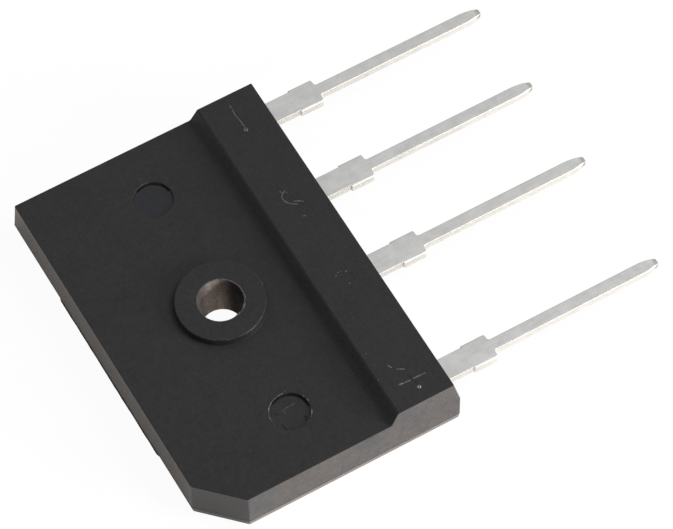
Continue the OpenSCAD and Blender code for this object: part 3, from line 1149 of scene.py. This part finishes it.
def fleck_tree():
    """Scatters small flattened grains over faces."""
    tree = Former(
        "Flecks on a face", {"Density": 0.3, "Largest": 0.05, "Flatness": 0.4, "Seed": 7}
    )
    seed = tree.given("Seed")
    points = tree.add(
        "GeometryNodeDistributePointsOnFaces",
        {"distribute_method": "RANDOM"},
        {"Mesh": tree.given("Geometry"), "Density": tree.given("Density"), "Seed": seed},
    )
    chance = tree.add(
        "FunctionNodeRandomValue",
        {"data_type": "FLOAT"},
        {"Min_001": 0.0, "Max_001": 1.0, "Seed": seed},
        "Value_001",
    )
    size = tree.given("Largest") * (0.3 + 0.7 * chance**3.0)
    grains = tree.add(
        "GeometryNodeInstanceOnPoints",
        {},
        {
            "Points": points,
            "Instance": tree.add("GeometryNodeMeshIcoSphere", {}, {"Radius": 1.0, "Subdivisions": 2}),
            "Rotation": tree.vector(0.0, 0.0, chance * 40.0),
            "Scale": tree.vector(size, size * 0.8, size * tree.given("Flatness")),
        },
    )
    tree.end(grains, smooth=True)
    return tree


def sign_paths(lead, mark):
    """Worn strokes of the polarity signs: pale ones, dark ones that are burnt marking and partly
    painted shadow of the strokes, and glazed end dots.

    The points of a stroke are from the centre of its lead and from the line of the signs.
    """
    centres = lead_centres(lead)
    y = LEAD_FACE + mark.sign_setback
    pale = {
        "lead_plus": [
            [(-0.14, 1.16), (-0.21, 0.7), (-0.24, 0.19)],
            [(-0.23, 0.02), (-0.22, -0.12), (-0.25, -1.02)],
            [(1.02, 0.62), (0.88, 0.36), (0.72, 0.08)],
            [(1.64, 1.02), (1.46, 0.93), (1.28, 0.84)],
        ],
        "lead_ac_1": [
            [(-0.15, 0.57), (-0.24, 0.45)],
            [(-0.03, 0.33), (-0.03, 0.16), (-0.08, -0.02)],
            [(-0.19, -0.21), (-0.28, -0.36)],
            [(-1.19, 0.04), (-1.27, -0.07)],
        ],
        "lead_ac_2": [
            [(0.54, 0.54), (0.4, 0.48), (0.28, 0.44)],
            [(0.09, 0.12), (0.35, 0.19), (0.21, 0.45), (-0.05, 0.67), (-0.39, 0.64), (-0.7, 0.48)],
            [(-0.7, 0.48), (-0.97, 0.14), (-1.11, -0.09)],
            [(-0.75, 0.08), (-0.89, -0.27), (-1.14, -0.59)],
            [(-2.15, 0.14), (-2.23, -0.12)],
        ],
        "lead_minus": [
            [(1.28, 0.07), (0.99, 0.08)],
            [(0.9, 0.08), (0.5, 0.12), (-0.05, 0.07), (-0.74, 0.03), (-0.95, 0.04)],
        ],
    }
    # Dark strokes: burnt marking, partly painted shadow along the strokes.
    burnt = {
        "lead_plus": [[(0.66, 0.07), (0.23, 0.13), (-0.11, 0.08), (-0.46, -0.05), (-0.81, -0.05)]],
        "lead_ac_1": [[(-0.28, -0.36), (-0.62, -0.59), (-0.98, -0.6), (-1.19, -0.36)]],
        "lead_ac_2": [[(-1.13, -0.25), (-1.54, -0.57), (-1.9, -0.58), (-2.1, -0.31)]],
        "lead_minus": [[(0.6, -0.02), (-0.05, -0.03), (-0.7, -0.05)]],
    }
    placed = [
        [[(centres[n] + dx, y + dy) for dx, dy in line] for n in LEADS for line in strokes[n]]
        for strokes in (pale, burnt)
    ]
    dots = [(centres["lead_plus"] - 1.04, y - 0.05), (centres["lead_minus"] - 1.17, y + 0.07)]
    return placed, dots


def chalk_finish(look, name):
    """Pale ash or torn resin over the compound, uneven along its length and thinner towards +X."""
    finish = Finish(name)
    patch = finish.noise(5.0, 3.0, 0.6)
    kept = patch.rise(0.35, 0.7) * finish.noise(1.3, 2.0).rise(0.3, 0.6)
    kept = kept * ((-finish.x).rise(4.0, 9.0) * 0.6 + 0.4)
    return finish.surface(
        finish.noise(20.0),
        0.01,
        Base_Color=kept.blend(tinted(look.chalk, 0.3), (*look.chalk, 1)),
        Roughness=0.55 + patch * 0.2,
        Specular_IOR_Level=0.3,
    )


def dot_finish(look, dots):
    """Glazed ends of burnt strokes, each a pale bluish ring round a dark pit: the ring is a painted
    highlight on the glaze.
    """
    finish = Finish("glazed_dot")
    patch = finish.noise(7.0, 2.0)
    (plus_x, plus_y), (minus_x, minus_y) = dots
    ring = finish.around(plus_x + 0.04, plus_y - 0.03).near(0.1, 0.08)
    ring = ring + finish.around(minus_x + 0.04, minus_y - 0.04).near(0.12, 0.09)
    ring = ring * ((-finish.x).rise(-8.0, 8.0) * 0.7 + 0.3) * patch.rise(0.2, 0.6)
    return finish.surface(
        patch,
        0.01,
        Base_Color=ring.least(1.0).blend((*look.dot_pit, 1), (*look.dot_ring_highlight, 1)),
        Roughness=0.3 + patch * 0.1,
        Specular_IOR_Level=0.3,
    )


def film_and_shadow_finish(look, name, lift):
    """A film over the compound, its colour taken down or up by that lift, without its sheen. It serves
    burnt marking, scuffs and smudges, and also painted highlights on the rims of the ejector marks and
    painted shadow inside them.
    """
    finish = Finish(name)
    patch = finish.noise(2.5, 3.0, 0.6)
    dark, pale = (tinted(look.compound, lift * k) for k in (0.6, 1.5))
    return finish.surface(
        finish.noise(9.0),
        0.02,
        Base_Color=patch.rise(0.3, 0.7).blend(dark, pale),
        Roughness=0.7 + patch * 0.2,
        Specular_IOR_Level=0.0,
    )


def flash_finish(look):
    """Thin resin flash: brown, glossier than the compound."""
    finish = Finish("resin_flash")
    patch = finish.noise(3.0, 3.0, 0.6)
    tone = (patch - 0.5) * 0.9 + 1.0
    return finish.surface(
        finish.noise(9.0),
        0.02,
        Base_Color=patch.blend((*look.flash, 1), (*look.compound, 1)) * tone,
        Roughness=0.42 + patch * 0.2,
        Specular_IOR_Level=0.35,
    )


def lay_beads(tree, name, paths, **values):
    """Lays beads along paths and hands them over as one piece."""
    base = thing_from(name + "_path", paths_mesh(paths))
    tree.put_on(base, **values)
    hand_over(name, settled(base))


class RECTIFIER_OT_signs(bpy.types.Operator):
    """Make the polarity signs on the thick band"""

    bl_idname = "rectifier.signs"
    bl_label = "Polarity signs"

    def execute(self, context):
        lead = in_mm(context.scene.rectifier_leads)
        mark = in_mm(context.scene.rectifier_marks)
        look = context.scene.rectifier_finishes
        (pale, burnt), dots = sign_paths(lead, mark)
        tree = bead_tree()
        for name, paths, finish, width in (
            ("signs", pale, chalk_finish(look, "burnt_marking"), mark.stroke),
            ("burnt_strokes", burnt, film_and_shadow_finish(look, "burnt_stroke", 2.2), 0.5 * mark.stroke),
        ):
            lay_beads(
                tree,
                name,
                at_height(HOUSING_TOP, *paths),
                radius=width / 2,
                sample=0.04,
                unevenness=0.8,
                wander=0.03,
                feature=0.3,
                gaps=0.33,
                height=HOUSING_TOP,
                flatness=2 * mark.raised / mark.stroke,
                seed=mark.seed,
                material=finish,
            )
        mesh = bmesh.new()
        for place, grow in zip(dots, (0.8, 1.0)):
            turned(mesh, [(r * grow, HOUSING_TOP + z * grow) for r, z in DOT_PROFILE], place, 24)
        bmesh.ops.recalc_face_normals(mesh, faces=mesh.faces[:])
        for face in mesh.faces:
            face.smooth = True
            if face.normal.z < 0:
                face.normal_flip()
        form = mesh_from("sign_dots", mesh)
        hand_over("sign_dots", form, [dot_finish(look, dots)])
        return {"FINISHED"}


def ejector_paths(body):
    """Paths round and in the two ejector marks, by piece."""
    rim, floor = body.thin_height, body.thin_height - body.mark_depth
    torn, pressed = -body.mark_offset, body.mark_offset

    def arcs(x, z, outside, *spans):
        """Arcs round one mark, each given by its start and end in degrees and its steps."""
        radius = body.mark_radius + outside
        return at_height(z, *[arc((x, 0.0), radius, start, end, steps) for start, end, steps in spans])

    burrs = [(start, start + run, 6) for start, run in BURRS]
    return {
        "ejector_burr": arcs(torn, rim, 0.03, *burrs),
        # Painted highlights: pale beads along the rims of the marks where they catch the light.
        "ejector_lip": [
            *arcs(torn, rim, 0.02, (30, 110, 60), (-150, -105, 20)),
            *arcs(pressed, rim, 0.05, (-15, 12, 10), (-92, -74, 8)),
        ],
        # Painted shadow: dark beads on the floors of the marks, inside the rims that shade them.
        "ejector_stains": [
            *arcs(torn, floor, -0.12, (-100, 33, 60)),
            *arcs(pressed, floor, -0.1, (-85, 30, 60)),
        ],
        "ejector_smudges": at_height(
            floor,
            [(torn + 0.49, 1.08), (torn + 0.23, 0.86)],
            [(torn - 0.55, 0.97), (torn - 1.2, 0.87)],
            [(torn - 0.8, -0.75), (torn - 1.0, -0.8), (torn - 1.2, -0.68)],
        ),
        "ejector_scratches": at_height(
            floor,
            [(torn + 0.36, 0.49), (torn + 0.44, -0.1), (torn + 0.47, -0.68)],
            [(torn + 0.36, 0.49), (torn + 0.1, 0.3)],
        ),
    }


def edge_paths(body):
    """Paths along the hole, the step, the parting line and the back edge, by piece."""
    low, high = HOUSING_LOW, HOUSING_HIGH
    thin, seat, foot = body.thin_height, body.thin_height + body.boss_height, body.foot_height
    step = low.y + body.band_width
    back = high.y - foot * math.tan(body.foot_draft)
    # Each line runs between two distances from the -X end, at a y and a height.
    step_lines = (
        (3.0, 13.0, step + 0.02, high.z - 0.01),
        (1.0, 8.0, step + body.step_run / 2, (thin + high.z) / 2),
        (1.6, 6.0, step + body.step_run + 0.12, thin),
    )
    return {
        # Pale beads round the -Y side of the hole's lip: chips of burr, and a painted highlight along
        # the lip.
        "hole_burr": at_height(
            seat,
            arc((0.0, 0.0), body.hole_top_radius + 0.03, -170, 20, 96),
            arc((0.0, 0.0), body.hole_top_radius + 0.1, -152, -104, 24),
        ),
        "step_chips": [
            [(low.x + start, y, z), (low.x + end, y, z)] for start, end, y, z in step_lines
        ],
        "parting_flash": at_height(
            foot,
            [
                (high.x, low.y + 0.3),
                (high.x, high.y),
                (low.x + body.corner_cut, high.y),
                (low.x, high.y - body.corner_cut),
                (low.x, low.y + 0.3),
            ],
        ),
        "back_flash": at_height(BACK_FLASH_HEIGHT, [(x, back) for x in BACK_FLASH_ENDS]),
    }


class RECTIFIER_OT_flash(bpy.types.Operator):
    """Make the mould flash, the torn rims and stains of the ejector marks and the chips of the step"""

    bl_idname = "rectifier.flash"
    bl_label = "Mould flash"

    def execute(self, context):
        body = in_mm(context.scene.rectifier_housing)
        mark = in_mm(context.scene.rectifier_marks)
        look = context.scene.rectifier_finishes
        chalk = chalk_finish(look, "torn_flash")
        resin = flash_finish(look)
        # Pale film for scratches in the torn mark, and for painted highlights along the rims of both
        # marks.
        faint = film_and_shadow_finish(look, "scuffed_resin", 5.5)
        scuff = film_and_shadow_finish(look, "scuffed_step", 3.2)
        dark = film_and_shadow_finish(look, "stain", 0.8)
        smudge = film_and_shadow_finish(look, "smudge", 2.0)
        rim, floor = body.thin_height, body.thin_height - body.mark_depth
        seat, foot = body.thin_height + body.boss_height, body.foot_height
        paths = {**ejector_paths(body), **edge_paths(body)}
        tree = bead_tree()
        for name, finish, height, radius, unevenness, wander, feature, gaps, flatness in (
            ("ejector_burr", chalk, rim, 0.055, 0.9, 0.08, 0.22, 0.0, 0.5),
            ("ejector_lip", faint, rim, 0.03, 1.2, 0.08, 0.35, 0.46, 0.5),
            ("ejector_stains", dark, floor, 0.085, 0.7, 0.05, 0.4, 0.0, 0.1),
            ("ejector_smudges", smudge, floor, 0.06, 0.8, 0.06, 0.3, 0.2, 0.1),
            ("ejector_scratches", faint, floor, 0.035, 0.8, 0.06, 0.3, 0.3, 0.3),
            ("hole_burr", chalk, seat, 0.04, 1.6, 0.06, 0.3, 0.42, 0.5),
            ("step_chips", scuff, 0.0, 0.03, 1.6, 0.2, 0.2, 0.6, 1.0),
            ("parting_flash", resin, foot, 0.012, 0.8, 0.0, 0.6, 0.3, 0.7),
            ("back_flash", resin, BACK_FLASH_HEIGHT, mark.flash_out, 0.35, 0.03, 1.2, 0.0, 0.2),
        ):
            lay_beads(
                tree,
                name,
                paths[name],
                radius=radius,
                sample=0.05,
                unevenness=unevenness,
                wander=wander,
                feature=feature,
                gaps=gaps,
                height=height,
                flatness=flatness,
                seed=mark.seed,
                material=finish,
            )
        return {"FINISHED"}


def fleck_areas(body):
    """For each piece, its flecks on a square mm and its rectangles as (x, y, x, y, height)."""
    low, high = HOUSING_LOW, HOUSING_HIGH
    step, thin = low.y + body.band_width, body.thin_height
    seat = body.boss_radius + 0.3
    return {
        "flecks": (
            0.04,
            (low.x + 0.6, step + 0.9, -seat, high.y - 3.6, thin),
            (seat, step + 0.9, high.x - 0.6, high.y - 0.6, thin),
            (-seat, seat, seat, high.y - 0.6, thin),
            (low.x + 0.8, low.y + 0.8, high.x - 0.8, step - 0.3, high.z),
        ),
        "step_flecks": (
            2.5,
            (low.x + 2.0, step + 0.65, low.x + 8.0, step + 1.1, thin),
            (low.x + 2.5, step - 0.6, low.x + 6.5, step - 0.15, high.z),
        ),
    }


class RECTIFIER_OT_flecks(bpy.types.Operator):
    """Scatter the small flecks of trimmed resin over the front"""

    bl_idname = "rectifier.flecks"
    bl_label = "Flecks"

    def execute(self, context):
        body = in_mm(context.scene.rectifier_housing)
        seed = context.scene.rectifier_marks.seed
        finish = chalk_finish(context.scene.rectifier_finishes, "fleck")
        tree = fleck_tree()
        for name, (density, *areas) in fleck_areas(body).items():
            mesh = bmesh.new()
            for x0, y0, x1, y1, z in areas:
                corners = ((x0, y0), (x1, y0), (x1, y1), (x0, y1))
                mesh.faces.new([mesh.verts.new((*corner, z)) for corner in corners])
            base = thing_from(name + "_area", mesh)
            tree.put_on(
                base, density=density, largest=0.055, flatness=0.4, seed=seed, material=finish
            )
            hand_over(name, settled(base))
        return {"FINISHED"}


# ---- Inside ----


def metal_finish(name, base_colour, roughness, scale, stretch=None, metallic=1.0):
    """A metal with a fine grain, drawn out where stretch is given."""
    finish = Finish(name)
    grain = finish.noise(scale, 3.0, 0.6, stretch=stretch)
    patch = finish.noise(scale / 6, 2.0)
    tone = (grain - 0.5) * 0.3 + (patch - 0.5) * 0.35 + 1.0
    base = finish.add(
        "ShaderNodeMix",
        {"data_type": "RGBA", "blend_type": "MULTIPLY"},
        {"Factor_Float": 1.0, "A_Color": (*base_colour, 1), "B_Color": tone},
        "Result_Color",
    )
    return finish.surface(
        grain, 0.004, Base_Color=base, Roughness=roughness + patch * 0.15, Metallic=metallic
    )


class RECTIFIER_OT_inside(bpy.types.Operator):
    """Finish the dies, the clips and the solder inside the housing"""

    bl_idname = "rectifier.inside"
    bl_label = "Inside"

    def execute(self, context):
        look = context.scene.rectifier_finishes
        finishes = {
            "die_solder": metal_finish("die_solder", look.solder, 0.45, 9.0),
            "clip_solder": metal_finish("clip_solder", look.solder, 0.42, 9.0),
            "foot_solder": metal_finish("foot_solder", look.solder, 0.42, 9.0),
            "die": metal_finish("silicon_die", look.silicon, 0.22, 14.0, metallic=0.6),
            "clip": metal_finish("drawn_copper", look.copper, 0.3, 12.0, (0.08, 1.0, 1.0)),
        }
        for name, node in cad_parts.items():
            kind = name.rstrip("_1234")
            if kind in finishes:
                for slot in node.material_slots:
                    slot.material = finishes[kind]
        return {"FINISHED"}


# ---- Stage ----


def seen(tree):
    """1 for rays from the camera and for rays in mirrors and glass, 0 for light that bounces."""
    path = tree.add("ShaderNodeLightPath", output="Is Camera Ray")
    return path.most(path.beside("Is Glossy Ray")).most(path.beside("Is Transmission Ray"))


def floor_finish(look):
    """White floor that keeps the object's shadow."""
    finish = Finish("floor")
    paper = finish.noise(0.02, 2.0).blend((0.80, 0.79, 0.78, 1), (0.82, 0.81, 0.80, 1))
    lit = finish.add("ShaderNodeBsdfDiffuse", {}, {"Color": paper})
    glow = finish.add("ShaderNodeEmission", {}, {"Color": WHITE, "Strength": look.floor_glow})

    def mixed(factor, first, second):
        return finish.add(
            "ShaderNodeMixShader", {}, {"Fac": factor, "Shader": first, "Shader_001": second}
        )

    path = finish.add("ShaderNodeLightPath", output="Is Camera Ray")
    direct = path.most(path.beside("Is Transmission Ray"))
    bounced = mixed(path.beside("Is Glossy Ray"), lit, mixed(0.85, glow, lit))
    both = mixed(direct, bounced, mixed(0.05, glow, lit))
    finish.add("ShaderNodeOutputMaterial", {}, {"Surface": both})
    finish.material.cycles.emission_sampling = "NONE"
    return finish.material


def lamp(name, azimuth, elevation, distance, size, power):
    """A square soft lamp that faces the object. Angles are in degrees, lengths in metres."""
    light = bpy.data.lights.new(name, "AREA")
    light.size = size
    light.energy = power
    thing = bpy.data.objects.new(name, light)
    bpy.context.scene.collection.objects.link(thing)
    a, e = math.radians(azimuth), math.radians(elevation)
    away = Vector((math.cos(a) * math.cos(e), math.sin(a) * math.cos(e), math.sin(e)))
    thing.location = away * distance
    thing.rotation_euler = away.to_track_quat("Z", "Y").to_euler()


def aimed_camera(focal_length):
    """The camera: where it stands, in metres, and the directions of its right and its up."""
    camera = bpy.data.cameras.new("camera")
    camera.lens = focal_length
    camera.sensor_width = 36.0
    camera.clip_start = 0.01
    camera.clip_end = 20.0
    thing = bpy.data.objects.new("camera", camera)
    bpy.context.scene.collection.objects.link(thing)
    place = (-0.139770, 0.065392, 0.271980)
    right = Vector((-0.496845, -0.867684, -0.016400))
    up = Vector((0.745048, -0.436160, 0.504647))
    turn = Matrix((right, up, right.cross(up))).transposed().to_4x4()
    thing.matrix_world = Matrix.Translation(place) @ turn
    return thing


FLOOR_HALF = 3.0  # in metres
FLOOR_DROP = 0.00001  # keeps the floor clear of the back face, in metres


class RECTIFIER_OT_stage(bpy.types.Operator):
    """Make the floor, the light and the camera"""

    bl_idname = "rectifier.stage"
    bl_label = "Stage"

    def execute(self, context):
        look = context.scene.rectifier_stage
        scene = context.scene
        mesh = bmesh.new()
        bmesh.ops.create_grid(mesh, x_segments=2, y_segments=2, size=FLOOR_HALF)
        bmesh.ops.translate(mesh, verts=mesh.verts[:], vec=(0, 0, -FLOOR_DROP))
        floor = thing_from("floor", mesh)
        floor.data.materials.append(floor_finish(look))
        world = bpy.data.worlds.new("studio")
        world.use_nodes = True
        world.cycles.sampling_method = "NONE"
        world.node_tree.nodes.clear()
        scene.world = world
        tree = Tree(world.node_tree)
        even, white = (
            tree.add("ShaderNodeBackground", {}, {"Color": WHITE, "Strength": strength})
            for strength in (look.ambient, 1.0)
        )
        sky = tree.add(
            "ShaderNodeMixShader", {}, {"Fac": seen(tree), "Shader": even, "Shader_001": white}
        )
        tree.add("ShaderNodeOutputWorld", {}, {"Surface": sky})
        lamp("key", azimuth=-110, elevation=52, distance=0.8, size=0.36, power=look.key_power)
        lamp("side", azimuth=222, elevation=14, distance=0.7, size=0.25, power=look.fill_power)
        scene.camera = aimed_camera(look.focal_length)
        scene.view_settings.view_transform = "Standard"
        return {"FINISHED"}


# ---- Panel and registration ----


class RECTIFIER_PT_panel(bpy.types.Panel):
    """Lists the operators and the sizes that they use"""

    bl_idname = "RECTIFIER_PT_panel"
    bl_label = "Bridge rectifier"
    bl_space_type = "VIEW_3D"
    bl_region_type = "UI"
    bl_category = "Rectifier"

    def draw(self, context):
        for operator in OPERATORS:
            self.layout.operator(operator.bl_idname)
        for key in PROPERTIES:
            box = self.layout.box()
            group = getattr(context.scene, key)
            for name in group.__annotations__:
                box.prop(group, name)


PROPERTIES = {
    "rectifier_housing": HousingSizes,
    "rectifier_leads": LeadSizes,
    "rectifier_marks": MarkSizes,
    "rectifier_finishes": Finishes,
    "rectifier_stage": StageLook,
}
OPERATORS = (
    RECTIFIER_OT_stage,
    RECTIFIER_OT_housing,
    RECTIFIER_OT_leads,
    RECTIFIER_OT_signs,
    RECTIFIER_OT_flash,
    RECTIFIER_OT_flecks,
    RECTIFIER_OT_inside,
)


def register():
    for cls in (*PROPERTIES.values(), *OPERATORS, RECTIFIER_PT_panel):
        bpy.utils.register_class(cls)
    for key, cls in PROPERTIES.items():
        setattr(bpy.types.Scene, key, PointerProperty(type=cls))


def unregister():
    for key in PROPERTIES:
        delattr(bpy.types.Scene, key)
    for cls in (RECTIFIER_PT_panel, *reversed(OPERATORS), *reversed(PROPERTIES.values())):
        bpy.utils.unregister_class(cls)


def main():
    """Makes every piece."""
    register()
    for operator in OPERATORS:
        family, name = operator.bl_idname.split(".")
        getattr(getattr(bpy.ops, family), name)()


if __name__ == "__main__":
    main()
